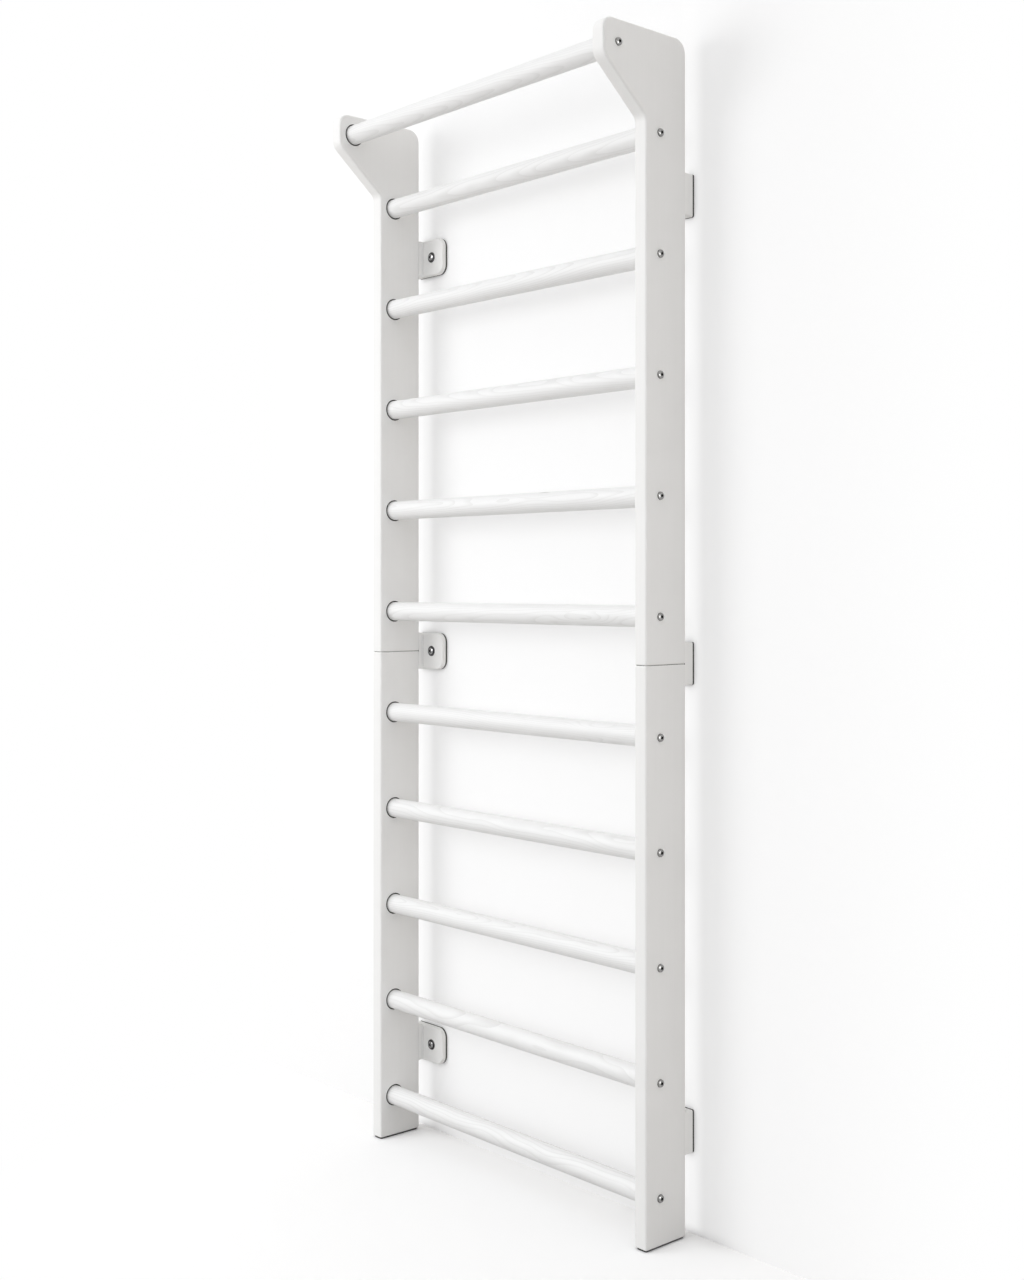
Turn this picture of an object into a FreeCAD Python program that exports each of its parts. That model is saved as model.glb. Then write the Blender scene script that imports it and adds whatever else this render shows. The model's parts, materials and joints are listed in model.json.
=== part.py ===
import FreeCAD, Part
import os

import Sketcher
from FreeCAD import Vector

# Driving sizes in millimetres; names ending in share are parts of another size
SIZES = {
    # Stiles: two boards on edge, each in a lower and an upper half
    "clear_width": 718,
    "stile_thickness": 28,
    "stile_depth": 100,
    "edge_round": 4,
    "end_round": 3,
    "floor_round": 2.5,
    # Pads under the stiles
    "floor_pad_thickness": 3,
    "floor_pad_inset": 3,
    "floor_pad_corner": 3,
    # Rungs and their places up the stiles
    "rung_diameter": 38,
    "rung_cover": 13.6,
    "socket_clearance": 2.4,
    "socket_depth": 10,
    "rung_chamfer": 1,
    "first_rung_height": 82,
    "lower_pitch": 197,
    "seam_drop": 124,
    "seam_rise": 83,
    "upper_pitch": 207,
    "crown_rise": 172,
    # Forward-leaning head with the pull-up bar
    "bar_reach": 67,
    "bar_drop": 39,
    "nose_cover": 35,
    "nose_height": 63,
    "head_height": 150,
    "nose_round": 22,
    "chin_round": 30,
    "crown_round": 25,
    "throat_round": 18,
    # Rung screws and the threaded inserts they pull on
    "screw_diameter": 8,
    "screw_clearance": 0.5,
    "screw_head_diameter": 14,
    "screw_head_height": 4.4,
    "screw_dome_share": 0.77,
    "screw_key": 5,
    "key_depth": 2.6,
    "insert_diameter": 14,
    "insert_length": 30,
    "insert_clearance": 0.1,
    "insert_spare": 2,
    "thread_clearance": 0.05,
    "screw_grip_share": 0.9,
    # Dowels across the seam
    "dowel_diameter": 10,
    "dowel_length": 60,
    "dowel_spare": 1,
    "dowel_clearance": 0.1,
    "dowel_chamfer": 1,
    "front_dowel_share": 0.22,
    "rear_dowel_share": 0.58,
    # Wall brackets, the middle pair centred on the seam
    "wall_standoff": 24,
    "leg_inset": 2.5,
    "foot_thickness": 10.2,
    "foot_reach": 62,
    "foot_corner": 19,
    "bracket_height": 75,
    "bend_round": 1.5,
    "bracket_round": 3,
    "bracket_back_round": 1.2,
    "bracket_rise_share": 0.82,
    # Pads between the brackets and the wall
    "wall_pad_thickness": 3,
    "wall_pad_inset": 0.2,
    # Screws that hold each bracket to its stile
    "bracket_screw_diameter": 5,
    "bracket_screw_head": 9,
    "bracket_screw_head_height": 4,
    "bracket_screw_share": 0.56,
    "bracket_grip_share": 0.3,
    "bracket_screw_key": 3,
    "bracket_key_depth": 2,
    "counterbore_depth": 7.5,
    "counterbore_clearance": 1,
    "pilot_clearance": 0.05,
    "pilot_spare": 1,
    "screw_point": 6,
    # Wall screws and their washers
    "wall_screw_inset": 27,
    "wall_shank_diameter": 6.4,
    "wall_thread_diameter": 8,
    "wall_hole_clearance": 0.4,
    "wall_grip": 50,
    "wall_screw_point": 8,
    "wall_head_diameter": 14,
    "wall_head_height": 3.3,
    "wall_dome_share": 0.7,
    "wall_screw_key": 6,
    "wall_key_depth": 2.2,
    "washer_diameter": 21,
    "washer_thickness": 1.4,
    "washer_round": 0.6,
}

# Rungs in each half, bracket levels up each stile, and screws in each bracket
HALF_RUNGS = 5
LEVELS = 3
BRACKET_SCREWS = 2
SIDES = {"left": -1, "right": 1}

doc = FreeCAD.newDocument("wall_ladder")
sheet = doc.addObject("Spreadsheet::Sheet", "sizes")
for row, (name, number) in enumerate(SIZES.items(), start=1):
    sheet.set(f"A{row}", name)
    sheet.set(f"B{row}", str(number))
    sheet.setAlias(f"B{row}", name)
doc.recompute()

# Sizes that follow from the driving ones
RUNG_RADIUS = "(sizes.rung_diameter / 2)"
SOCKET_RADIUS = f"({RUNG_RADIUS} + sizes.socket_clearance)"
RUNG_SETBACK = f"(sizes.rung_cover + {SOCKET_RADIUS})"
RUNG_HALF = "(sizes.clear_width / 2 + sizes.socket_depth)"
OUTER_FACE = "(sizes.clear_width / 2 + sizes.stile_thickness)"
INNER_FACE = "(sizes.clear_width / 2)"
LOWER_RUN = f"({HALF_RUNGS - 1} * sizes.lower_pitch)"
UPPER_RUN = f"({HALF_RUNGS - 1} * sizes.upper_pitch)"
LOWER_LENGTH = f"(sizes.first_rung_height + {LOWER_RUN} + sizes.seam_drop)"
UPPER_LENGTH = f"(sizes.seam_rise + {UPPER_RUN} + sizes.crown_rise)"
SEAM = f"(sizes.floor_pad_thickness + {LOWER_LENGTH})"
TOP = f"({SEAM} + {UPPER_LENGTH})"
HEAD_REACH = "(sizes.bar_reach + sizes.nose_cover)"
INSERT_HOLE_RADIUS = "(sizes.insert_diameter / 2 + sizes.insert_clearance)"
INSERT_HOLE_DEPTH = "(sizes.insert_length + sizes.insert_spare)"
SCREW_RADIUS = "(sizes.screw_diameter / 2)"
SCREW_TIP = f"({RUNG_HALF} - sizes.screw_grip_share * sizes.insert_length)"
DOWEL_HOLE_RADIUS = "(sizes.dowel_diameter / 2 + sizes.dowel_clearance)"
DOWEL_HOLE_DEPTH = "(sizes.dowel_length / 2 + sizes.dowel_spare)"
BRACKET_RISE = f"({SEAM} * sizes.bracket_rise_share)"
LOW_BRACKET = f"({SEAM} - {BRACKET_RISE})"
BRACKET_BACK = "(sizes.wall_standoff - sizes.wall_pad_thickness)"
FOOT_RISE = "(sizes.wall_pad_thickness + sizes.foot_thickness)"
BRACKET_SCREW_OFFSET = "(sizes.bracket_height * sizes.bracket_screw_share / 2)"
BRACKET_SCREW_RADIUS = "(sizes.bracket_screw_diameter / 2)"
BRACKET_GRIP = "(sizes.stile_depth * sizes.bracket_grip_share)"
PILOT_RADIUS = f"({BRACKET_SCREW_RADIUS} + sizes.pilot_clearance)"
STILE_MIDDLE = "(sizes.clear_width / 2 + sizes.stile_thickness / 2)"
WALL_HOLE_RADIUS = "(sizes.wall_thread_diameter / 2 + sizes.wall_hole_clearance)"
WALL_SCREW_X = "(sizes.clear_width / 2 - sizes.wall_screw_inset)"

# Front face of the stiles, set so that the whole depth is centred on the origin
FRONT = f"(({HEAD_REACH} - sizes.stile_depth - sizes.wall_standoff - sizes.wall_grip) / 2)"
REAR = f"({FRONT} + sizes.stile_depth)"
WALL = f"({REAR} + sizes.wall_standoff)"

# Names that the sketcher gives to its axes, its origin and the points of a line or circle
V_AXIS, H_AXIS = range(-2, 0)
START, END, CENTRE = range(1, 4)
ORIGIN = (H_AXIS, START)
NEAR = 1e-6
THROUGH_ALL = "ThroughAll"
HEX_SIDES = 6
FULL_TURN = 360


def size(text):
    """The number that an expression on the sheet gives."""
    return float(sheet.evalExpression(text))


def new_body(label, x="0", y="0", z="0"):
    """An empty body of this name with its origin at the given place."""
    body = doc.addObject("PartDesign::Body", label)
    body.Label = label
    for axis, text in zip("xyz", (x, y, z)):
        body.setExpression(f"Placement.Base.{axis}", text)
    return body


def origin_of(body, role):
    """One of the body's own planes or axes."""
    return next(item for item in body.Origin.OriginFeatures if item.Role == role)


def sketch_on(body, role, name, **offsets):
    """A sketch on one of the body's planes, shifted by the given offsets."""
    sketch = body.newObject("Sketcher::SketchObject", name)
    sketch.AttachmentSupport = [(origin_of(body, role), "")]
    sketch.MapMode = "FlatFace"
    for axis, text in offsets.items():
        sketch.setExpression(f"AttachmentOffset.Base.{axis}", text)
    return sketch


def bind(sketch, constraint, text):
    """Add a dimension that follows the sheet."""
    index = sketch.addConstraint(constraint)
    sketch.setExpression(f"Constraints[{index}]", text)


def hold(sketch, point, x, y):
    """Hold a point of the sketch at this distance from the sketch's origin."""
    for kind, text, axis in (("DistanceX", x, V_AXIS), ("DistanceY", y, H_AXIS)):
        if text == "0":
            sketch.addConstraint(Sketcher.Constraint("PointOnObject", *point, axis))
        else:
            bind(sketch, Sketcher.Constraint(kind, *ORIGIN, *point, size(text)), text)


def draw_outline(sketch, corners):
    """A closed outline of straight lines through the given corners."""
    places = [Vector(size(x), size(y)) for x, y in corners]
    count = len(places)
    for start, end in zip(places, places[1:] + places[:1]):
        sketch.addGeometry(Part.LineSegment(start, end))
    for line in range(count):
        sketch.addConstraint(Sketcher.Constraint("Coincident", line, END, (line + 1) % count, START))
    for line, (x, y) in enumerate(corners):
        hold(sketch, (line, START), x, y)


def draw_circle(sketch, x, y, radius):
    """A circle at the given place."""
    shape = Part.Circle(Vector(size(x), size(y)), Vector(0, 0, 1), size(radius))
    index = sketch.addGeometry(shape)
    hold(sketch, (index, CENTRE), x, y)
    bind(sketch, Sketcher.Constraint("Radius", index, size(radius)), radius)


def draw_hexagon(sketch, key):
    """A hexagon about the sketch's origin, this far across its flats."""
    corner = f"({key} / sqrt(3))"
    spoke = Vector(size(corner), 0, 0)
    turns = [FreeCAD.Rotation(Vector(0, 0, 1), FULL_TURN * line / HEX_SIDES) for line in range(HEX_SIDES)]
    places = [rotation.multVec(spoke) for rotation in turns]
    for start, end in zip(places, places[1:] + places[:1]):
        sketch.addGeometry(Part.LineSegment(start, end))
    ring = sketch.addGeometry(Part.Circle(Vector(), Vector(0, 0, 1), size(corner)), True)
    for line in range(HEX_SIDES):
        sketch.addConstraint(Sketcher.Constraint("Coincident", line, END, (line + 1) % HEX_SIDES, START))
        sketch.addConstraint(Sketcher.Constraint("PointOnObject", line, START, ring))
    for line in range(1, HEX_SIDES):
        sketch.addConstraint(Sketcher.Constraint("Equal", 0, line))
    sketch.addConstraint(Sketcher.Constraint("Coincident", ring, CENTRE, *ORIGIN))
    sketch.addConstraint(Sketcher.Constraint("PointOnObject", 0, START, H_AXIS))
    bind(sketch, Sketcher.Constraint("Radius", ring, size(corner)), corner)


def pad(body, sketch, length, reverse=False, midplane=False):
    """Raise a sketch into a solid."""
    feature = body.newObject("PartDesign::Pad", f"{sketch.Name}_pad")
    feature.Profile = sketch
    feature.setExpression("Length", length)
    feature.Reversed = reverse
    feature.SideType = "Symmetric" if midplane else "One side"
    doc.recompute()
    return feature


def pocket(body, sketch, depth, reverse=False):
    """Cut a sketch into the body, and make sure that it takes material away."""
    before = body.Shape.Volume
    feature = body.newObject("PartDesign::Pocket", f"{sketch.Name}_cut")
    feature.Profile = sketch
    feature.Reversed = reverse
    if depth == THROUGH_ALL:
        feature.Type = THROUGH_ALL
    else:
        feature.setExpression("Length", depth)
    doc.recompute()
    if body.Shape.Volume >= before:
        raise RuntimeError(f"{feature.Name} cuts nothing")
    return feature


def turn(body, sketch, axis):
    """Turn a sketch about one of its axes, as on a lathe."""
    feature = body.newObject("PartDesign::Revolution", f"{sketch.Name}_turned")
    feature.Profile = sketch
    feature.ReferenceAxis = (sketch, [axis])
    doc.recompute()
    return feature


def dress(body, kind, size_name, text, chosen):
    """Round or bevel the edges of the body that pass the test."""
    base = body.Tip
    names = [f"Edge{i}" for i, edge in enumerate(base.Shape.Edges, start=1) if chosen(edge)]
    feature = body.newObject(kind, f"{base.Name}_{size_name.lower()}")
    feature.Base = (base, names)
    feature.setExpression(size_name, text)
    doc.recompute()
    return feature


def round_edges(body, radius, chosen):
    return dress(body, "PartDesign::Fillet", "Radius", radius, chosen)


def bevel_edges(body, width, chosen):
    return dress(body, "PartDesign::Chamfer", "Size", width, chosen)


def row_of(body, count, length, features=()):
    """Repeat the features, or without any the whole body, up the body's Z axis."""
    pattern = body.newObject("PartDesign::LinearPattern", f"{body.Name}_row")
    if features:
        pattern.Originals = features
    else:
        pattern.TransformMode = "Whole shape"
    pattern.Direction = (origin_of(body, "Z_Axis"), [""])
    pattern.setExpression("Length", length)
    pattern.Occurrences = count
    body.Tip = pattern
    doc.recompute()
    return pattern


def mirror_across(body):
    """Add the other side's copy of everything in the body."""
    mirrored = body.newObject("PartDesign::Mirrored", f"{body.Name}_both_sides")
    mirrored.TransformMode = "Whole shape"
    mirrored.MirrorPlane = (origin_of(body, "YZ_Plane"), [""])
    body.Tip = mirrored
    doc.recompute()
    return mirrored


def all_at(edge, axis, place):
    """Whether the whole edge lies in the plane across this axis at this place."""
    low = getattr(edge.BoundBox, f"{axis}Min")
    high = getattr(edge.BoundBox, f"{axis}Max")
    return abs(low - place) < NEAR and abs(high - place) < NEAR


def in_line_at(edge, **places):
    """Whether the edge is a line through the given places, across the remaining axis."""
    return all(all_at(edge, axis, place) for axis, place in places.items())


# Stiles


def stile(side, half):
    """Half of a side board: its local origin is the inner, front, lower corner."""
    sign = SIDES[side]
    upper = half == "upper"
    label = f"{side}_{half}_stile"
    foot = SEAM if upper else "sizes.floor_pad_thickness"
    body = new_body(label, f"{sign} * {INNER_FACE}", FRONT, foot)
    length = UPPER_LENGTH if upper else LOWER_LENGTH
    corners = [("0", "0"), ("sizes.stile_depth", "0"), ("sizes.stile_depth", length)]
    if upper:
        corners += [
            (f"-{HEAD_REACH}", length),
            (f"-{HEAD_REACH}", f"{length} - sizes.nose_height"),
            ("0", f"{length} - sizes.head_height"),
        ]
    else:
        corners += [("0", length)]
    side_view = sketch_on(body, "YZ_Plane", f"{label}_side_view")
    draw_outline(side_view, corners)
    pad(body, side_view, "sizes.stile_thickness", reverse=sign < 0)

    # Head: crown, nose, chin and throat are rounded before the long edges
    if upper:
        bends = zip(("crown_round", "nose_round", "chin_round", "throat_round"), corners[2:])
        for bend, (y, z) in bends:
            place = {"Y": size(y), "Z": size(z)}
            round_edges(body, f"sizes.{bend}", lambda edge: in_line_at(edge, **place))

    # Long edges on both faces, then the loops around the square ends at the seam and at the foot
    faces = (0, sign * size("sizes.stile_thickness"))
    ends = {"end_round": 0} if upper else {"end_round": size(length), "floor_round": 0}

    def at_end(edge):
        return any(all_at(edge, "Z", place) for place in ends.values())

    def on_face(edge):
        return any(all_at(edge, "X", place) for place in faces)

    round_edges(body, "sizes.edge_round", lambda edge: on_face(edge) and not at_end(edge))
    for name, place in ends.items():
        round_edges(body, f"sizes.{name}", lambda edge: all_at(edge, "Z", place))

    # Sockets in the inner face, with a screw hole through the middle of each
    first = "sizes.seam_rise" if upper else "sizes.first_rung_height"
    socket = sketch_on(body, "YZ_Plane", f"{label}_socket")
    draw_circle(socket, RUNG_SETBACK, first, SOCKET_RADIUS)
    hole = sketch_on(body, "YZ_Plane", f"{label}_screw_hole")
    draw_circle(hole, RUNG_SETBACK, first, f"{SCREW_RADIUS} + sizes.screw_clearance")
    drilled = [
        pocket(body, socket, "sizes.socket_depth", reverse=sign > 0),
        pocket(body, hole, THROUGH_ALL, reverse=sign > 0),
    ]
    row_of(body, HALF_RUNGS, UPPER_RUN if upper else LOWER_RUN, drilled)
    if upper:
        drop = f"{length} - sizes.bar_drop"
        bar_socket = sketch_on(body, "YZ_Plane", f"{label}_bar_socket")
        draw_circle(bar_socket, "-sizes.bar_reach", drop, SOCKET_RADIUS)
        pocket(body, bar_socket, "sizes.socket_depth", reverse=sign > 0)
        bar_hole = sketch_on(body, "YZ_Plane", f"{label}_bar_hole")
        draw_circle(bar_hole, "-sizes.bar_reach", drop, f"{SCREW_RADIUS} + sizes.screw_clearance")
        pocket(body, bar_hole, THROUGH_ALL, reverse=sign > 0)

    # Dowel holes in the seam end
    middle = f"{sign} * sizes.stile_thickness / 2"
    seam_end = sketch_on(body, "XY_Plane", f"{label}_dowel_holes", z="0" if upper else length)
    for share in ("front_dowel_share", "rear_dowel_share"):
        draw_circle(seam_end, middle, f"sizes.stile_depth * sizes.{share}", DOWEL_HOLE_RADIUS)
    pocket(body, seam_end, DOWEL_HOLE_DEPTH, reverse=upper)

    # Pilot holes in the rear edge for the bracket screws
    if upper:
        near_seam = BRACKET_SCREW_OFFSET
        centre = BRACKET_RISE
    else:
        near_seam = f"{length} - {BRACKET_SCREW_OFFSET}"
        centre = f"{LOW_BRACKET} - {foot}"
    heights = (near_seam, f"{centre} - {BRACKET_SCREW_OFFSET}", f"{centre} + {BRACKET_SCREW_OFFSET}")
    pilots = sketch_on(body, "XZ_Plane", f"{label}_pilot_holes", z="-sizes.stile_depth")
    for height in heights:
        draw_circle(pilots, middle, height, PILOT_RADIUS)
    pocket(body, pilots, f"{BRACKET_GRIP} + sizes.pilot_spare", reverse=True)
    return body


# Rungs and pull-up bar


def rung(label, y, z):
    """A turned bar with a blind hole for a threaded insert in each end."""
    body = new_body(label, y=y, z=z)
    half_view = sketch_on(body, "XZ_Plane", f"{label}_half_view")
    hole_floor = f"({RUNG_HALF} - {INSERT_HOLE_DEPTH})"
    right_end = [
        (hole_floor, "0"),
        (hole_floor, INSERT_HOLE_RADIUS),
        (RUNG_HALF, INSERT_HOLE_RADIUS),
        (RUNG_HALF, f"{RUNG_RADIUS} - sizes.rung_chamfer"),
        (f"({RUNG_HALF} - sizes.rung_chamfer)", RUNG_RADIUS),
    ]
    left_end = [(f"-{x}", radius) for x, radius in reversed(right_end)]
    draw_outline(half_view, right_end + left_end)
    turn(body, half_view, "H_Axis")
    return body


# Screws, inserts and dowels


def drive(body, sketch, key, depth, reverse=False):
    """A hexagon socket in a screw's head."""
    draw_hexagon(sketch, key)
    return pocket(body, sketch, depth, reverse)


def rung_screws(label, y, z, count=1, length=None):
    """Button-head screws on the stiles' outer faces, one at each end of each bar."""
    body = new_body(label, y=y, z=z)
    head_top = f"({OUTER_FACE} + sizes.screw_head_height)"
    half_view = sketch_on(body, "XZ_Plane", f"{label}_half_view")
    draw_outline(
        half_view,
        [
            (SCREW_TIP, "0"),
            (SCREW_TIP, SCREW_RADIUS),
            (OUTER_FACE, SCREW_RADIUS),
            (OUTER_FACE, "sizes.screw_head_diameter / 2"),
            (head_top, "sizes.screw_head_diameter / 2"),
            (head_top, "0"),
        ],
    )
    turn(body, half_view, "H_Axis")
    dome = "sizes.screw_head_height * sizes.screw_dome_share"
    round_edges(body, dome, lambda edge: all_at(edge, "X", size(head_top)))
    drive(body, sketch_on(body, "YZ_Plane", f"{label}_key", z=head_top), "sizes.screw_key", "sizes.key_depth")
    if count > 1:
        row_of(body, count, length)
    mirror_across(body)
    return body


def rung_inserts(label, y, z, count=1, length=None):
    """Threaded inserts set flush into the ends of the bars."""
    body = new_body(label, y=y, z=z)
    bore = f"({SCREW_RADIUS} + sizes.thread_clearance)"
    far_end = f"({RUNG_HALF} - sizes.insert_length)"
    half_view = sketch_on(body, "XZ_Plane", f"{label}_half_view")
    draw_outline(
        half_view,
        [
            (far_end, bore),
            (far_end, "sizes.insert_diameter / 2"),
            (RUNG_HALF, "sizes.insert_diameter / 2"),
            (RUNG_HALF, bore),
        ],
    )
    turn(body, half_view, "H_Axis")
    if count > 1:
        row_of(body, count, length)
    mirror_across(body)
    return body


def seam_dowels(label):
    """Round dowels that line up the halves of each stile."""
    body = new_body(label, y=FRONT, z=SEAM)
    plan = sketch_on(body, "XY_Plane", f"{label}_plan")
    for share in ("front_dowel_share", "rear_dowel_share"):
        draw_circle(plan, STILE_MIDDLE, f"sizes.stile_depth * sizes.{share}", "sizes.dowel_diameter / 2")
    pad(body, plan, "sizes.dowel_length", midplane=True)
    reach = size("sizes.dowel_length / 2")
    bevel_edges(body, "sizes.dowel_chamfer", lambda edge: any(all_at(edge, "Z", z) for z in (-reach, reach)))
    mirror_across(body)
    return body


# Wall brackets and their screws


def bracket(side, level, height):
    """A foot against the wall and a leg against the stile's rear edge, in one piece."""
    sign = SIDES[side]
    label = f"{side}_{level}_bracket"
    body = new_body(label, f"{sign} * {INNER_FACE}", REAR, height)
    foot_front = f"(sizes.wall_standoff - {FOOT_RISE})"
    inner = f"{sign} * sizes.leg_inset"
    outer = f"{sign} * (sizes.stile_thickness - sizes.leg_inset)"
    free_end = f"{-sign} * sizes.foot_reach"
    plan = sketch_on(body, "XY_Plane", f"{label}_plan")
    draw_outline(
        plan,
        [
            (inner, "0"),
            (outer, "0"),
            (outer, BRACKET_BACK),
            (free_end, BRACKET_BACK),
            (free_end, foot_front),
            (inner, foot_front),
        ],
    )
    pad(body, plan, "sizes.bracket_height", midplane=True)
    top = size("sizes.bracket_height / 2")
    end = size(free_end)
    corner = "sizes.foot_corner"
    round_edges(body, corner, lambda edge: any(in_line_at(edge, X=end, Z=z) for z in (-top, top)))
    bend = {"X": size(inner), "Y": size(foot_front)}
    round_edges(body, "sizes.bend_round", lambda edge: in_line_at(edge, **bend))
    back = size(BRACKET_BACK)
    round_edges(body, "sizes.bracket_round", lambda edge: not any(all_at(edge, "Y", y) for y in (0, back)))
    round_edges(body, "sizes.bracket_back_round", lambda edge: all_at(edge, "Y", back))

    # Wall screw hole in the foot
    wall_hole = sketch_on(body, "XZ_Plane", f"{label}_wall_hole")
    draw_circle(wall_hole, f"{-sign} * sizes.wall_screw_inset", "0", WALL_HOLE_RADIUS)
    pocket(body, wall_hole, THROUGH_ALL)

    # Two counterbored holes through the leg
    middle = f"{sign} * sizes.stile_thickness / 2"
    holes = sketch_on(body, "XZ_Plane", f"{label}_screw_holes")
    bores = sketch_on(body, "XZ_Plane", f"{label}_counterbores", z=f"-{BRACKET_BACK}")
    bore_radius = "(sizes.bracket_screw_head / 2 + sizes.counterbore_clearance)"
    for direction in ("-", "+"):
        offset = f"{direction}{BRACKET_SCREW_OFFSET}"
        draw_circle(holes, middle, offset, PILOT_RADIUS)
        draw_circle(bores, middle, offset, bore_radius)
    pocket(body, holes, THROUGH_ALL)
    pocket(body, bores, "sizes.counterbore_depth", reverse=True)
    return body


def bracket_screws(label):
    """Two screws per bracket, driven from the wall side into the stile's rear edge."""
    body = new_body(label, y=WALL, z=f"{LOW_BRACKET} - {BRACKET_SCREW_OFFSET}")
    seat = "(0 - sizes.wall_pad_thickness - sizes.counterbore_depth)"
    head_top = f"({seat} + sizes.bracket_screw_head_height)"
    tip = f"(0 - sizes.wall_standoff - {BRACKET_GRIP})"
    half_view = sketch_on(body, "XY_Plane", f"{label}_half_view", x=STILE_MIDDLE)
    draw_outline(
        half_view,
        [
            ("0", tip),
            (BRACKET_SCREW_RADIUS, f"{tip} + sizes.screw_point"),
            (BRACKET_SCREW_RADIUS, seat),
            ("sizes.bracket_screw_head / 2", seat),
            ("sizes.bracket_screw_head / 2", head_top),
            ("0", head_top),
        ],
    )
    turn(body, half_view, "V_Axis")
    key = sketch_on(body, "XZ_Plane", f"{label}_key", x=STILE_MIDDLE, z=f"0 - {head_top}")
    drive(body, key, "sizes.bracket_screw_key", "sizes.bracket_key_depth", reverse=True)
    row_of(body, BRACKET_SCREWS, f"2 * {BRACKET_SCREW_OFFSET}")
    row_of(body, LEVELS, f"2 * {BRACKET_RISE}")
    mirror_across(body)
    return body


def wall_screws(label):
    """Long screws through the feet, with their threads standing out behind the wall plane."""
    body = new_body(label, y=WALL, z=LOW_BRACKET)
    seat = f"(0 - {FOOT_RISE} - sizes.washer_thickness)"
    head_top = f"({seat} - sizes.wall_head_height)"
    head_radius = "sizes.wall_head_diameter / 2"
    thread_radius = "sizes.wall_thread_diameter / 2"
    half_view = sketch_on(body, "XY_Plane", f"{label}_half_view", x=WALL_SCREW_X)
    draw_outline(
        half_view,
        [
            ("0", head_top),
            (head_radius, head_top),
            (head_radius, seat),
            ("sizes.wall_shank_diameter / 2", seat),
            ("sizes.wall_shank_diameter / 2", "0"),
            (thread_radius, "0"),
            (thread_radius, "sizes.wall_grip - sizes.wall_screw_point"),
            ("0", "sizes.wall_grip"),
        ],
    )
    turn(body, half_view, "V_Axis")
    dome = "sizes.wall_head_height * sizes.wall_dome_share"
    round_edges(body, dome, lambda edge: all_at(edge, "Y", size(head_top)))
    key = sketch_on(body, "XZ_Plane", f"{label}_key", x=WALL_SCREW_X, z=f"0 - {head_top}")
    drive(body, key, "sizes.wall_screw_key", "sizes.wall_key_depth")
    row_of(body, LEVELS, f"2 * {BRACKET_RISE}")
    mirror_across(body)
    return body


def wall_washers(label):
    """Round washers between the feet and the wall screws' heads."""
    body = new_body(label, y=WALL, z=LOW_BRACKET)
    under = f"(0 - {FOOT_RISE})"
    over = f"({under} - sizes.washer_thickness)"
    half_view = sketch_on(body, "XY_Plane", f"{label}_half_view", x=WALL_SCREW_X)
    draw_outline(
        half_view,
        [
            (WALL_HOLE_RADIUS, over),
            ("sizes.washer_diameter / 2", over),
            ("sizes.washer_diameter / 2", under),
            (WALL_HOLE_RADIUS, under),
        ],
    )
    turn(body, half_view, "V_Axis")
    rim = size("sizes.washer_diameter / 2")

    def outer_edge(edge):
        across = edge.BoundBox.XMax - edge.BoundBox.XMin
        return all_at(edge, "Y", size(over)) and across > rim

    round_edges(body, "sizes.washer_round", outer_edge)
    row_of(body, LEVELS, f"2 * {BRACKET_RISE}")
    mirror_across(body)
    return body


# Pads


def wall_pads(label):
    """Thin pads with the brackets' outline, between the brackets and the wall."""
    body = new_body(label, y=WALL, z=LOW_BRACKET)
    half_height = "(sizes.bracket_height / 2 - sizes.wall_pad_inset)"
    free_end = f"({INNER_FACE} - sizes.foot_reach + sizes.wall_pad_inset)"
    outer = f"({OUTER_FACE} - sizes.leg_inset - sizes.wall_pad_inset)"
    outline = sketch_on(body, "XZ_Plane", f"{label}_outline")
    levels = (f"-{half_height}", half_height)
    draw_outline(outline, [(free_end, levels[0]), (outer, levels[0]), (outer, levels[1]), (free_end, levels[1])])
    pad(body, outline, "sizes.wall_pad_thickness")
    for name, x in (("foot_corner", size(free_end)), ("bracket_round", size(outer))):
        corner = f"sizes.{name} - sizes.wall_pad_inset"
        round_edges(body, corner, lambda edge: any(in_line_at(edge, X=x, Z=size(z)) for z in levels))
    hole = sketch_on(body, "XZ_Plane", f"{label}_hole")
    draw_circle(hole, WALL_SCREW_X, "0", WALL_HOLE_RADIUS)
    pocket(body, hole, THROUGH_ALL, reverse=True)
    row_of(body, LEVELS, f"2 * {BRACKET_RISE}")
    mirror_across(body)
    return body


def floor_pads(label):
    """Thin pads under the stiles, set back from their rounded lower edges."""
    body = new_body(label, y=FRONT)
    inset = "sizes.floor_pad_inset"
    sides = (f"({INNER_FACE} + {inset})", f"({OUTER_FACE} - {inset})")
    ends = (inset, f"(sizes.stile_depth - {inset})")
    outline = sketch_on(body, "XY_Plane", f"{label}_outline")
    draw_outline(outline, [(sides[0], ends[0]), (sides[1], ends[0]), (sides[1], ends[1]), (sides[0], ends[1])])
    pad(body, outline, "sizes.floor_pad_thickness")
    round_edges(body, "sizes.floor_pad_corner", lambda edge: edge.BoundBox.ZMax - edge.BoundBox.ZMin > NEAR)
    mirror_across(body)
    return body


# The whole ladder
rung_depth = f"({FRONT} + {RUNG_SETBACK})"
bar_depth = f"({FRONT} - sizes.bar_reach)"
bar_height = f"({TOP} - sizes.bar_drop)"
lower_start = "(sizes.floor_pad_thickness + sizes.first_rung_height)"
upper_start = f"({SEAM} + sizes.seam_rise)"

pieces = [stile(side, half) for side in SIDES for half in ("lower", "upper")]
runs = ((lower_start, "sizes.lower_pitch"), (upper_start, "sizes.upper_pitch"))
heights = [f"{start} + {step} * {pitch}" for start, pitch in runs for step in range(HALF_RUNGS)]
for number, height in enumerate(heights, start=1):
    pieces.append(rung(f"rung_{number:02d}", rung_depth, height))
pieces.append(rung("pull_up_bar", bar_depth, bar_height))

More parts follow.
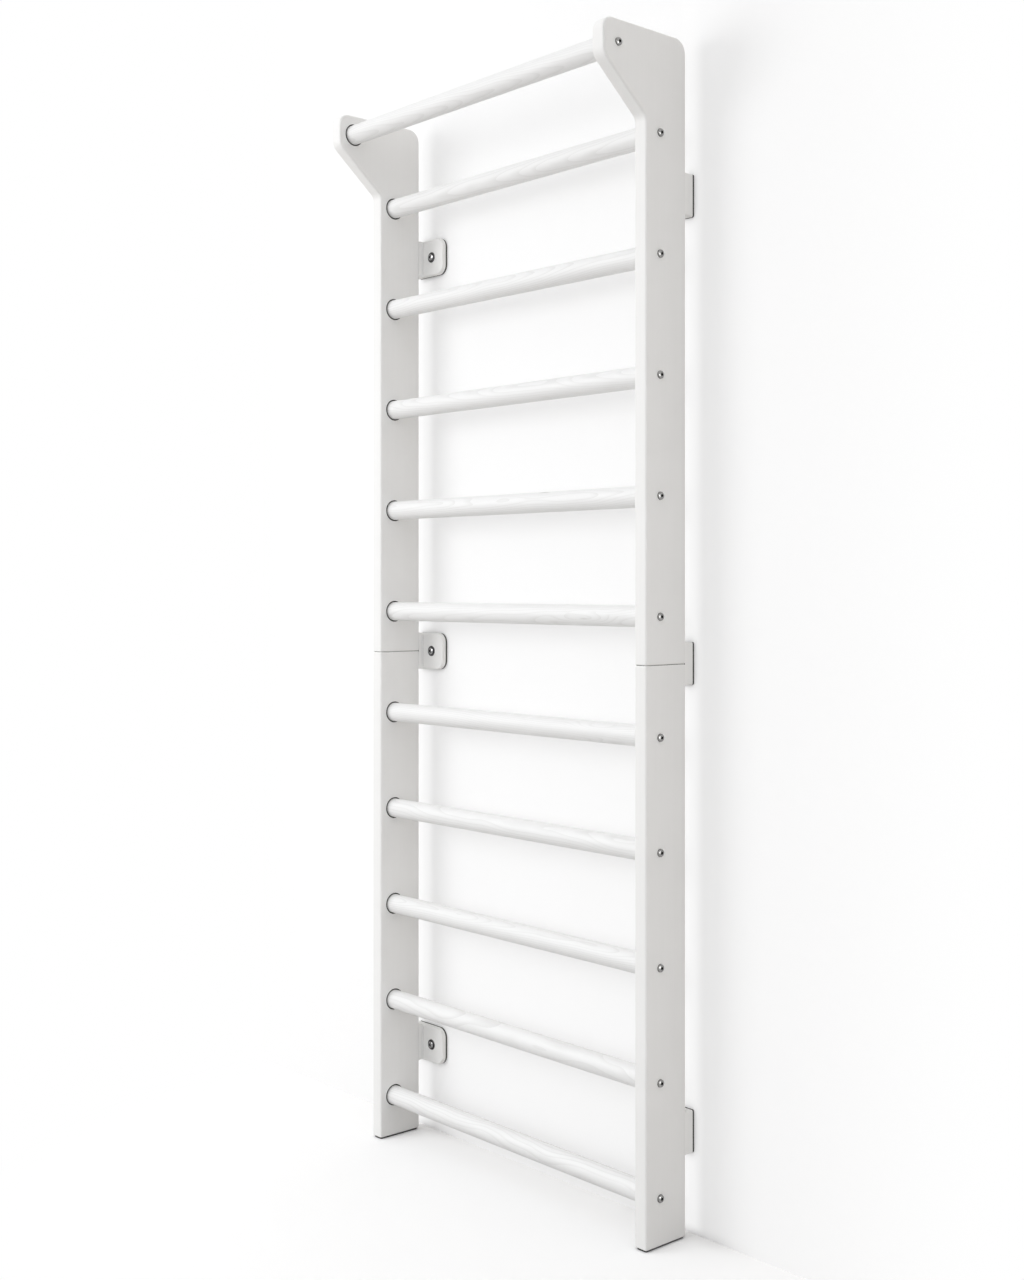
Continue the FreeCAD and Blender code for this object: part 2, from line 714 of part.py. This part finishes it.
for name, make in (("screws", rung_screws), ("inserts", rung_inserts)):
    pieces.append(make(f"lower_rung_{name}", rung_depth, lower_start, HALF_RUNGS, LOWER_RUN))
    pieces.append(make(f"upper_rung_{name}", rung_depth, upper_start, HALF_RUNGS, UPPER_RUN))
    pieces.append(make(f"pull_up_bar_{name}", bar_depth, bar_height))
pieces.append(seam_dowels("seam_dowels"))

levels = {"lower": LOW_BRACKET, "middle": SEAM, "upper": f"({SEAM} + {BRACKET_RISE})"}
for side in SIDES:
    for level, height in levels.items():
        pieces.append(bracket(side, level, height))
pieces += [bracket_screws("bracket_screws"), wall_washers("wall_washers"), wall_screws("wall_screws")]
pieces += [wall_pads("wall_pads"), floor_pads("floor_pads")]

# Every object must be sound before anything is written
doc.recompute()
for item in doc.Objects:
    if {"Invalid", "Error"} & set(item.State):
        raise RuntimeError(f"{item.Label} failed: {item.State}")
for piece in pieces:
    if piece.Shape.isNull() or not piece.Shape.isValid():
        raise RuntimeError(f"{piece.Label} has no sound shape")

os.makedirs("parts", exist_ok=True)
for piece in pieces:
    piece.Shape.exportStep(f"parts/{piece.Label}.step")
    print(piece.Label, len(piece.Shape.Solids), "solids", round(piece.Shape.Volume), "mm3")
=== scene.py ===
import json
import math

import bpy
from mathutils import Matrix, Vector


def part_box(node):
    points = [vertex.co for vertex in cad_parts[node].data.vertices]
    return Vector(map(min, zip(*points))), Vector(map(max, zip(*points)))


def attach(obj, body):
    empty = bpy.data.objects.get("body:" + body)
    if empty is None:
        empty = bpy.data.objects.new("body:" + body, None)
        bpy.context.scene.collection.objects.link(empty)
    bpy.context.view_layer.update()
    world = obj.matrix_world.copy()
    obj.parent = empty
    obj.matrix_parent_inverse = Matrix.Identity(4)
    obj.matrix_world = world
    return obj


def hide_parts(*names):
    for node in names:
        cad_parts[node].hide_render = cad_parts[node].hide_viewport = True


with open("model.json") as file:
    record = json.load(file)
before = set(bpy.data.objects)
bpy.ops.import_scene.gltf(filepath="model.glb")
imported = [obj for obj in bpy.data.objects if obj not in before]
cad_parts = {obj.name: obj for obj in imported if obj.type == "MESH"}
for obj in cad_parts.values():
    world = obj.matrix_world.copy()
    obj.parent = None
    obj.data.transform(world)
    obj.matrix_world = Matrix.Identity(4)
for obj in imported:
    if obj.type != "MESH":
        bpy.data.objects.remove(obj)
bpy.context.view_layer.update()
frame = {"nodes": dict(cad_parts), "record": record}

# Lengths are in metres and colours are linear
MM_PER_METRE = 1000.0
WHITE = (1.0, 1.0, 1.0, 1.0)
BLACK = (0.0, 0.0, 0.0, 1.0)

# Camera, fitted to the stile edges, rung centres and screws
CAMERA_PLACE = (2.266, -2.009, 1.135)
CAMERA_LEVEL = math.radians(90.0)
CAMERA_TURN = math.radians(48.39)
CAMERA_LENS = 45.03
CAMERA_SHIFT_Y = -0.0433

# Stage planes, as they are seen and as they light the ladder
WALL_PLANE = 0.088
FLOOR_HALF = 60.0
WALL_HALF = 40.0
WALL_TOP = 25.0
STAGE_SEEN = (0.975, 0.980, 0.990, 1.0)
STAGE_ROUGHNESS = 0.9
FLOOR_BOUNCE = (0.51, 0.499, 0.487, 1.0)
WALL_BOUNCE = (0.89, 0.868, 0.845, 1.0)

# Share of plain white in them: near the ladder, and from where to where it rises to all
STAGE_GLOW = 0.43
FADE_NEAR = 0.45
FADE_FAR = 1.00

# Painted contact shade: its reach, how closed in a point is, and how far aside of a stile it goes
FLOOR_CONTACT = 0.050
WALL_CONTACT = 0.018
CONTACT_CLOSED = 0.40
CONTACT_OPEN = 0.95
CONTACT_NEAR = 0.07
CONTACT_FAR = 0.17

# Painted light on the wall in the gap behind each stile, and from where to where it falls off
GAP_PAINTED_LIGHT = 0.78
GAP_NEAR = 0.012
GAP_FAR = 0.034

# Lights
WORLD_LIGHT = 0.940
WORLD_SEEN = 1.0
LAMP_AIM = (0.0, 0.0, 1.0)
KEY_PLACE = (-1.9, -3.1, 1.8)
KEY_WIDTH = 2.1
KEY_POWER = 52.0
SIDE_GLINT_PLACE = (3.2, -0.05, 1.2)
SIDE_GLINT_WIDTH = 2.4
SIDE_GLINT_POWER = 120.0
FRONT_GLINT_PLACE = (-0.6, -2.6, 2.3)
FRONT_GLINT_WIDTH = 2.6
FRONT_GLINT_POWER = 60.0

# Colours
PAINT_LIGHT = (0.880, 0.882, 0.880, 1.0)
PAINT_DEEP = (0.846, 0.847, 0.844, 1.0)
RUNG_LIGHT = (0.836, 0.841, 0.844, 1.0)
RUNG_GRAIN = (0.664, 0.664, 0.660, 1.0)
RUNG_KNOT = (0.518, 0.510, 0.498, 1.0)
SHELL_LIGHT = (0.925, 0.927, 0.924, 1.0)
SHELL_DEEP = (0.895, 0.897, 0.893, 1.0)
ZINC_LIGHT = (0.36, 0.357, 0.352, 1.0)
ZINC_DEEP = (0.24, 0.237, 0.232, 1.0)
BLACK_ZINC_LIGHT = (0.120, 0.120, 0.124, 1.0)
BLACK_ZINC_DEEP = (0.070, 0.070, 0.073, 1.0)
NICKEL_LIGHT = (0.38, 0.38, 0.383, 1.0)
NICKEL_DEEP = (0.27, 0.27, 0.273, 1.0)
BRASS_LIGHT = (0.76, 0.58, 0.27, 1.0)
BRASS_DEEP = (0.58, 0.42, 0.18, 1.0)
BEECH_LIGHT = (0.74, 0.58, 0.41, 1.0)
BEECH_DEEP = (0.60, 0.44, 0.29, 1.0)
RUBBER_LIGHT = (0.060, 0.060, 0.059, 1.0)
RUBBER_DEEP = (0.036, 0.036, 0.035, 1.0)

# Textures. Scales and stretches are per metre, tones are where on a noise the two colours
# begin, roughness is a range, and a bump is its strength and its height
MOTTLE_SCALE = 7.0
PEEL_SCALE = 650.0
STILE_GRAIN = (260.0, 260.0, 4.0)
SHELL_GRAIN = (420.0, 420.0, 420.0)
PAINT_GRAIN_SHARE = 0.35
PAINT_TONES = (0.30, 0.70)
PAINT_GRAIN_BUMP = (0.10, 0.0004)
PEEL_BUMP = (0.06, 0.0002)
STILE_ROUGHNESS = (0.58, 0.70)
SHELL_ROUGHNESS = (0.55, 0.68)

HEART_OFFSET = 0.016
GRAIN_TILT = 0.08
GRAIN_SHIFT = 0.3
KNOT_STRETCH = (3.2, 21.0, 21.0)
KNOT_REACH = 0.34
KNOT_PUSH = (0.0, 0.009, 0.009)
KNOT_TONES = (0.015, 0.06)
RING_STRETCH = (0.45, 1.0, 1.0)
RING_WAVES = {
    "Scale": 84.0,
    "Distortion": 14.0,
    "Detail": 1.5,
    "Detail Scale": 0.15,
    "Detail Roughness": 0.45,
}
RING_TONES = (0.58, 1.0)
RING_SHARES = (0.15, 0.75)
RING_BUMP = (0.08, 0.0004)
PATCH_STRETCH = (3.0, 18.0, 18.0)
PORE_STRETCH = (14.0, 900.0, 900.0)
PORE_TONES = (0.56, 0.74)
PORE_SHARE = 0.16
PORE_BUMP = (0.12, 0.0003)
RUNG_ROUGHNESS = (0.42, 0.58)

TARNISH_SCALE = 160.0
TARNISH_TONES = (0.25, 0.75)
SPECK_BUMP = (0.10, 0.0001)
ZINC_SPECK = 2600.0
WALL_STEEL_SPECK = 2200.0
BRASS_SPECK = 1800.0
BRIGHT_ROUGHNESS = (0.12, 0.22)
DULL_ROUGHNESS = (0.28, 0.42)

FLECK_STRETCH = (700.0, 700.0, 30.0)
FLECK_TONES = (0.30, 0.75)
FLECK_BUMP = (0.1, 0.0003)
BEECH_ROUGHNESS = 0.6

PEBBLE_SCALE = 1400.0
PEBBLE_TONES = (0.30, 0.70)
PEBBLE_BUMP = (0.25, 0.0003)
RUBBER_ROUGHNESS = (0.70, 0.85)

# Painted shade in joints, crevices and recesses: the reach, and the openness at which a point is
# all dark and not dark at all
OPENNESS_SAMPLES = 8
CREVICE_SHADE_DARK = (0.030, 0.028, 0.026, 1.0)
PAINT_CREVICE_SHADE = (0.008, 0.31, 0.64)
METAL_CREVICE_SHADE = (0.005, 0.45, 0.85)

# Wall screws; the point's share is how much of the thickness is left at the very tip
SCREW_SIDES = 36
HEAD_RADIUS = 0.007
HEAD_RIM = 0.001
DOME_LOOPS = 6
KEY_HALF = 0.003
KEY_DEPTH = 0.0022
KEY_BEVEL = 0.0002
SHANK_RADIUS = 0.0032
CORE_RADIUS = 0.0029
THREAD_PITCH = 0.0036
THREAD_LOOPS = 10
RIDGE_SHARE = 0.28
POINT_LENGTH = 0.008
POINT_SHARE = 0.06
SHARP_ANGLE = math.radians(35.0)


class Graph:
    """The node tree of a material or a world, with nodes added and linked in one call."""

    def __init__(self, owner):
        owner.use_nodes = True
        self.owner = owner
        self.tree = owner.node_tree

    def named(self, name):
        """A node that the tree starts with."""
        return self.tree.nodes[name]

    def add(self, kind, inputs=None, **settings):
        node = self.tree.nodes.new(kind)
        for name, value in settings.items():
            setattr(node, name, value)
        self.fill(node, inputs or {})
        return node

    def fill(self, node, inputs):
        for name, value in inputs.items():
            if isinstance(value, bpy.types.NodeSocket):
                self.tree.links.new(value, node.inputs[name])
            else:
                node.inputs[name].default_value = value

    def place(self):
        """Where a point is in the ladder's own frame."""
        return self.add("ShaderNodeTexCoord").outputs["Object"]

    def stretched(self, vector, scale, location=(0, 0, 0), rotation=(0, 0, 0)):
        inputs = {"Vector": vector, "Scale": scale, "Location": location, "Rotation": rotation}
        return self.add("ShaderNodeMapping", inputs).outputs["Vector"]

    def noise(self, vector, scale=1.0, detail=2.0, roughness=0.5):
        inputs = {"Vector": vector, "Scale": scale, "Detail": detail, "Roughness": roughness}
        return self.add("ShaderNodeTexNoise", inputs).outputs["Fac"]

    def ramp(self, factor, tones, low_colour, high_colour):
        node = self.add("ShaderNodeValToRGB", {"Fac": factor})
        first, last = node.color_ramp.elements
        first.position, last.position = tones
        first.color, last.color = low_colour, high_colour
        return node.outputs["Color"]

    def reckon(self, operation, *values):
        node = self.add("ShaderNodeMath", dict(enumerate(values)), operation=operation)
        return node.outputs["Value"]

    def span(self, value, low, high, start=0.0, end=1.0, smooth=False):
        """A value between start and end, spread from low to high."""
        inputs = {"Value": value, "From Min": start, "From Max": end, "To Min": low, "To Max": high}
        curve = "SMOOTHSTEP" if smooth else "LINEAR"
        return self.add("ShaderNodeMapRange", inputs, interpolation_type=curve).outputs["Result"]

    def mix(self, share, first, second, kind="RGBA"):
        inputs = {"Factor": share, "A": first, "B": second}
        return self.add("ShaderNodeMix", inputs, data_type=kind).outputs["Result"]

    def mix_shaders(self, share, first, second):
        inputs = {0: share, 1: first, 2: second}
        return self.add("ShaderNodeMixShader", inputs).outputs["Shader"]

    def openness(self, reach):
        """1 where nothing lies within reach of a point, and less the more it is closed in."""
        inputs = {"Distance": reach}
        node = self.add("ShaderNodeAmbientOcclusion", inputs, samples=OPENNESS_SAMPLES)
        return node.outputs["AO"]

    def crevice_shade(self, colour, reach, closed, open_enough):
        """The colour with painted shade, going dark where other surfaces close in on it."""
        share = self.span(self.openness(reach), 0.0, 1.0, closed, open_enough)
        return self.mix(share, CREVICE_SHADE_DARK, colour)

    def bump(self, height, strength, distance, normal=None):
        inputs = {"Height": height, "Strength": strength, "Distance": distance}
        if normal is not None:
            inputs["Normal"] = normal
        return self.add("ShaderNodeBump", inputs).outputs["Normal"]

    def seen(self):
        """1 for what the camera sees, straight or in a reflection, and 0 for other light."""
        path = self.add("ShaderNodeLightPath").outputs
        return self.reckon("MAXIMUM", path["Is Camera Ray"], path["Is Glossy Ray"])

    def coat(self, colour, roughness, normal, metallic=0.0):
        """The material, with its surface set."""
        surface = {
            "Base Color": colour,
            "Roughness": roughness,
            "Metallic": metallic,
            "Normal": normal,
        }
        self.fill(self.named("Principled BSDF"), surface)
        return self.owner


def material_graph(name):
    return Graph(bpy.data.materials.new(name))


def painted(name, light, deep, grain, roughness):
    """Satin paint with faint mottling, the wood or mould texture showing through, and painted shade
    in crevices.
    """
    graph = material_graph(name)
    place = graph.place()
    mottle = graph.noise(place, MOTTLE_SCALE, detail=3.0)
    along = graph.noise(graph.stretched(place, grain), detail=4.0, roughness=0.6)
    peel = graph.noise(place, PEEL_SCALE)
    tone = graph.mix(PAINT_GRAIN_SHARE, mottle, along, kind="FLOAT")
    # The paint gets painted shade in sockets, seams and other crevices
    colour = graph.crevice_shade(graph.ramp(tone, PAINT_TONES, deep, light), *PAINT_CREVICE_SHADE)
    normal = graph.bump(along, *PAINT_GRAIN_BUMP)
    normal = graph.bump(peel, *PEEL_BUMP, normal)
    return graph.coat(colour, graph.span(mottle, *roughness), normal)


def whitewashed(name, axis, seed):
    """Whitewashed rung: growth rings cut lengthwise, with knots and fine pores along the bar, and
    painted shade where it sits in the sockets.
    """
    graph = material_graph(name)
    heart_y = axis[1] + HEART_OFFSET * math.cos(seed)
    heart_z = axis[2] + HEART_OFFSET * math.sin(seed)
    tilt = (0.0, GRAIN_TILT * math.cos(2 * seed), GRAIN_TILT * math.sin(3 * seed))
    centred = graph.stretched(graph.place(), (1, 1, 1), (GRAIN_SHIFT * seed, -heart_y, -heart_z))

    # Rings, pushed aside around the knots
    cells = {"Vector": graph.stretched(centred, KNOT_STRETCH), "Scale": 1.0}
    knot = graph.add("ShaderNodeTexVoronoi", cells).outputs["Distance"]
    pushed = {
        0: graph.span(knot, 1.0, 0.0, end=KNOT_REACH, smooth=True),
        1: KNOT_PUSH,
        2: graph.stretched(centred, RING_STRETCH, rotation=tilt),
    }
    rings_at = graph.add("ShaderNodeVectorMath", pushed, operation="MULTIPLY_ADD").outputs["Vector"]
    rings = graph.add(
        "ShaderNodeTexWave",
        {"Vector": rings_at, **RING_WAVES},
        wave_type="RINGS",
        rings_direction="X",
        wave_profile="SAW",
    ).outputs["Fac"]

    # The whitewash is worn in patches, with pores and the dark cores of the knots
    pores = graph.noise(graph.stretched(centred, PORE_STRETCH), detail=3.0, roughness=0.6)
    patches = graph.noise(graph.stretched(centred, PATCH_STRETCH))
    grain = graph.ramp(rings, RING_TONES, RUNG_LIGHT, RUNG_GRAIN)
    speck = graph.ramp(pores, PORE_TONES, RUNG_LIGHT, RUNG_GRAIN)
    worn = graph.mix(graph.span(patches, *RING_SHARES), RUNG_LIGHT, grain)
    core = graph.ramp(knot, KNOT_TONES, WHITE, BLACK)
    colour = graph.mix(core, graph.mix(PORE_SHARE, worn, speck), RUNG_KNOT)
    # Painted shade where other surfaces close in, as round the rung's ends in the sockets
    colour = graph.crevice_shade(colour, *PAINT_CREVICE_SHADE)
    normal = graph.bump(rings, *RING_BUMP)
    normal = graph.bump(pores, *PORE_BUMP, normal)
    return graph.coat(colour, graph.span(patches, *RUNG_ROUGHNESS), normal)


def metal(name, light, deep, roughness, speck_scale):
    """Plated or plain metal with fine tumbling marks, a little tarnish and painted shade where it
    is closed in.
    """
    graph = material_graph(name)
    place = graph.place()
    tarnish = graph.noise(place, TARNISH_SCALE, detail=3.0)
    speck = graph.noise(place, speck_scale, detail=3.0, roughness=0.65)
    # Painted shade where the metal is closed in, as round a screw head's rim and in its key socket
    colour = graph.crevice_shade(graph.ramp(tarnish, TARNISH_TONES, deep, light), *METAL_CREVICE_SHADE)
    normal = graph.bump(speck, *SPECK_BUMP)
    return graph.coat(colour, graph.span(speck, *roughness), normal, metallic=1.0)


def bare_wood(name, light, deep):
    """Plain beech dowel."""
    graph = material_graph(name)
    fleck = graph.noise(graph.stretched(graph.place(), FLECK_STRETCH), detail=3.0, roughness=0.6)
    colour = graph.ramp(fleck, FLECK_TONES, light, deep)
    return graph.coat(colour, BEECH_ROUGHNESS, graph.bump(fleck, *FLECK_BUMP))


def rubber(name, light, deep):
    """Matte moulded rubber with a fine pebbled skin."""
    graph = material_graph(name)
    pebble = graph.noise(graph.place(), PEBBLE_SCALE, detail=3.0, roughness=0.6)
    colour = graph.ramp(pebble, PEBBLE_TONES, deep, light)
    normal = graph.bump(pebble, *PEBBLE_BUMP)
    return graph.coat(colour, graph.span(pebble, *RUBBER_ROUGHNESS), normal)


def middle_of(node):
    low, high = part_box(node)
    return [(a + b) / 2 for a, b in zip(low, high)]


def dress(node, material):
    for item in frame["nodes"][node].material_slots:
        item.material = material


# Materials on the CAD nodes
nickel = metal("wall_screw_steel", NICKEL_LIGHT, NICKEL_DEEP, BRIGHT_ROUGHNESS, WALL_STEEL_SPECK)
by_slot = {
    "stile_paint": painted("stile_paint", PAINT_LIGHT, PAINT_DEEP, STILE_GRAIN, STILE_ROUGHNESS),
    "bracket_shell": painted(
        "bracket_shell", SHELL_LIGHT, SHELL_DEEP, SHELL_GRAIN, SHELL_ROUGHNESS
    ),
    "screw_steel": metal("screw_steel", ZINC_LIGHT, ZINC_DEEP, BRIGHT_ROUGHNESS, ZINC_SPECK),
    "wall_steel": nickel,
    "insert_brass": metal("insert_brass", BRASS_LIGHT, BRASS_DEEP, DULL_ROUGHNESS, BRASS_SPECK),
    "dowel_wood": bare_wood("dowel_wood", BEECH_LIGHT, BEECH_DEEP),
    "pad_rubber": rubber("pad_rubber", RUBBER_LIGHT, RUBBER_DEEP),
}
by_node = {
    "wall_washers": metal(
        "wall_washer_steel", BLACK_ZINC_LIGHT, BLACK_ZINC_DEEP, DULL_ROUGHNESS, WALL_STEEL_SPECK
    ),
}
bars = 0
for part in frame["record"]["subparts"]:
    node, slot = part["node"], part["material_slot"]
    if slot == "rung_wood":
        bars += 1
        dress(node, whitewashed(f"rung_wood_{bars:02d}", middle_of(node), float(bars)))
    else:
        dress(node, by_node.get(node, by_slot[slot]))


def add_to_scene(name, content):
    item = bpy.data.objects.new(name, content)
    bpy.context.scene.collection.objects.link(item)
    return item


# Wall screws: the head of the solids, with the thread that they leave plain


def hexagon(half, angle):
    """How far a hexagon's edge is from its middle, for half its width across the flats."""
    side = math.pi / 3
    return half / math.cos(angle % side - side / 2)


def screw_head(angles, top, seat):
    """Rings from the socket's floor over the dome to the underside of the head."""
    rise = seat - HEAD_RIM - top
    curve = (HEAD_RADIUS**2 + rise**2) / (2 * rise)

    def on_dome(radius, sunk=0.0):
        return radius, top + curve - math.sqrt(curve**2 - radius**2) + sunk

    rings = [
        [(hexagon(KEY_HALF, angle), top + KEY_DEPTH) for angle in angles],
        [on_dome(hexagon(KEY_HALF, angle), KEY_BEVEL) for angle in angles],
    ]
    mouth = [hexagon(KEY_HALF + KEY_BEVEL, angle) for angle in angles]
    for loop in range(DOME_LOOPS + 1):
        share = loop / DOME_LOOPS
        rings.append([on_dome(edge + (HEAD_RADIUS - edge) * share) for edge in mouth])
    rings.append([(HEAD_RADIUS, seat)] * SCREW_SIDES)
    rings.append([(SHANK_RADIUS, seat)] * SCREW_SIDES)
    return rings


def screw_thread(angles, start, tip, crest):
    """Rings of a right-handed thread that tapers to a point."""
    loops = math.ceil((tip - start) / THREAD_PITCH * THREAD_LOOPS)
    rings = []
    for loop in range(loops + 1):
        along = (tip - start) * loop / loops
        taper = max(min((tip - start - along) / POINT_LENGTH, 1.0), POINT_SHARE)
        depth = (crest - CORE_RADIUS) * min(along / THREAD_PITCH, 1.0)
        ring = []
        for angle in angles:
            phase = (along / THREAD_PITCH - angle / (2 * math.pi)) % 1.0
            ridge = max(1.0 - abs(phase - 0.5) / RIDGE_SHARE, 0.0)
            ring.append((taper * (CORE_RADIUS + depth * ridge), start + along))
        rings.append(ring)
    return rings


def loft(points, faces, rings, angles, x, z):
    """Adds a closed skin over rings of radius and depth around an axis at x and z."""
    first = len(points)
    for ring in rings:
        for angle, (radius, y) in zip(angles, ring):
            points.append((x + radius * math.sin(angle), y, z + radius * math.cos(angle)))
    for near in range(first, len(points) - SCREW_SIDES, SCREW_SIDES):
        far = near + SCREW_SIDES
        for side in range(SCREW_SIDES):
            next_side = (side + 1) % SCREW_SIDES
            faces.append((near + side, near + next_side, far + next_side, far + side))
    faces.append(tuple(reversed(range(first, first + SCREW_SIDES))))
    faces.append(tuple(range(len(points) - SCREW_SIDES, len(points))))


def threaded_screws(name, material):
    """All the wall screws as one mesh, placed by the record's bolt patterns."""
    head_top, tip = (corner[1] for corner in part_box("wall_screws"))
    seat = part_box("wall_washers")[0][1]
    angles = [2 * math.pi * side / SCREW_SIDES for side in range(SCREW_SIDES)]
    points, faces = [], []
    for mount in frame["record"]["mounts"]:
        if mount["kind"] != "bolt_pattern":
            continue
        middle_x, wall, middle_z = mount["pos_m"]
        dims = mount["dims"]
        half_x, half_z = (dims.get(f"spacing_{axis}_mm", 0.0) / 2 / MM_PER_METRE for axis in "xy")
        rings = screw_head(angles, head_top, seat) + [[(SHANK_RADIUS, wall)] * SCREW_SIDES]
        rings += screw_thread(angles, wall, tip, dims["stud_r_mm"] / MM_PER_METRE)
        for across, up in sorted({(x, z) for x in (-half_x, half_x) for z in (-half_z, half_z)}):
            loft(points, faces, rings, angles, middle_x + across, middle_z + up)
    mesh = bpy.data.meshes.new(name)
    mesh.from_pydata(points, [], faces)
    mesh.materials.append(material)
    mesh.shade_smooth()
    mesh.set_sharp_from_angle(angle=SHARP_ANGLE)
    return add_to_scene(name, mesh)


screws = threaded_screws("threaded_wall_screws", nickel)
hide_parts("wall_screws")
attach(screws, "root")

# Stage: a pale floor, and a wall that is seen from the front only
STILE_MIDDLE = middle_of("right_lower_stile")[0]


def stage_look(name, bounce, contact, gap_painted_light=STAGE_GLOW, one_sided=False):
    """Matte, paler as seen than as it lights the ladder, plain white further off, with painted
    shade at contacts and painted light in the gaps behind the stiles.
    """
    look = material_graph(name)
    matte = look.named("Principled BSDF")
    seen = look.seen()
    look.fill(matte, {"Base Color": look.mix(seen, bounce, STAGE_SEEN)})
    look.fill(matte, {"Roughness": STAGE_ROUGHNESS, "Specular IOR Level": 0.0})
    white = look.add("ShaderNodeEmission", {"Color": WHITE, "Strength": 1.0}).outputs["Emission"]

    # Less white at contacts near the stiles as painted shade, more in the gaps behind them as
    # painted light, and all white further off
    place = look.place()
    across = look.add("ShaderNodeSeparateXYZ", {"Vector": place}).outputs["X"]
    aside = look.reckon("SUBTRACT", look.reckon("ABSOLUTE", across), STILE_MIDDLE)
    aside = look.reckon("ABSOLUTE", aside)
    least = look.span(aside, 0.0, STAGE_GLOW, CONTACT_NEAR, CONTACT_FAR)
    most = look.span(aside, gap_painted_light, STAGE_GLOW, GAP_NEAR, GAP_FAR)
    near = look.span(look.openness(contact), least, most, CONTACT_CLOSED, CONTACT_OPEN)
    level = look.stretched(place, (1.0, 1.0, 0.0))
    away = look.add("ShaderNodeVectorMath", {0: level}, operation="LENGTH").outputs["Value"]
    whiter = look.span(away, near, 1.0, FADE_NEAR, FADE_FAR, smooth=True)
    shader = look.mix_shaders(look.reckon("MULTIPLY", seen, whiter), matte.outputs["BSDF"], white)
    if one_sided:
        behind = look.add("ShaderNodeNewGeometry").outputs["Backfacing"]
        clear = look.add("ShaderNodeBsdfTransparent").outputs["BSDF"]
        shader = look.mix_shaders(behind, shader, clear)
    look.fill(look.named("Material Output"), {"Surface": shader})
    return look.owner


def stage_plane(name, corners, material):
    mesh = bpy.data.meshes.new(name)
    mesh.from_pydata(corners, [], [tuple(range(len(corners)))])
    mesh.materials.append(material)
    add_to_scene(name, mesh)


stage_plane(
    "stage_floor",
    [
        (-FLOOR_HALF, -FLOOR_HALF, 0.0),
        (FLOOR_HALF, -FLOOR_HALF, 0.0),
        (FLOOR_HALF, FLOOR_HALF, 0.0),
        (-FLOOR_HALF, FLOOR_HALF, 0.0),
    ],
    stage_look("stage_floor", FLOOR_BOUNCE, FLOOR_CONTACT),
)
stage_plane(
    "stage_wall",
    [
        (-WALL_HALF, WALL_PLANE, 0.0),
        (WALL_HALF, WALL_PLANE, 0.0),
        (WALL_HALF, WALL_PLANE, WALL_TOP),
        (-WALL_HALF, WALL_PLANE, WALL_TOP),
    ],
    stage_look("stage_wall", WALL_BOUNCE, WALL_CONTACT, GAP_PAINTED_LIGHT, one_sided=True),
)

# Soft studio light, from a white world and three lamps
world = bpy.data.worlds.new("studio")
bpy.context.scene.world = world
sky = Graph(world)
strength = sky.span(sky.seen(), WORLD_LIGHT, WORLD_SEEN)
sky.fill(sky.named("Background"), {"Color": WHITE, "Strength": strength})


def round_lamp(name, place, width, power):
    """A round soft lamp that faces the ladder."""
    light = bpy.data.lights.new(name, "AREA")
    light.shape = "DISK"
    light.size = width
    light.energy = power
    lamp = add_to_scene(name, light)
    lamp.location = place
    x, y, z = (to - start for to, start in zip(LAMP_AIM, place))
    lamp.rotation_euler = (math.atan2(math.hypot(x, y), -z), 0.0, math.atan2(-x, y))
    lamp.visible_camera = False
    return lamp


# The key throws the soft shadows on the wall; the glints give the shine, mostly the metal's
key = round_lamp("key", KEY_PLACE, KEY_WIDTH, KEY_POWER)
key.visible_glossy = False
side_glint = round_lamp("side_glint", SIDE_GLINT_PLACE, SIDE_GLINT_WIDTH, SIDE_GLINT_POWER)
side_glint.visible_diffuse = False
front_glint = round_lamp("front_glint", FRONT_GLINT_PLACE, FRONT_GLINT_WIDTH, FRONT_GLINT_POWER)
front_glint.visible_diffuse = False

# Camera
lens = bpy.data.cameras.new("camera")
lens.sensor_fit = "AUTO"
lens.lens = CAMERA_LENS
lens.shift_y = CAMERA_SHIFT_Y
camera = add_to_scene("camera", lens)
camera.location = CAMERA_PLACE
camera.rotation_euler = (CAMERA_LEVEL, 0.0, CAMERA_TURN)
bpy.context.scene.camera = camera
bpy.context.scene.view_settings.view_transform = "Standard"
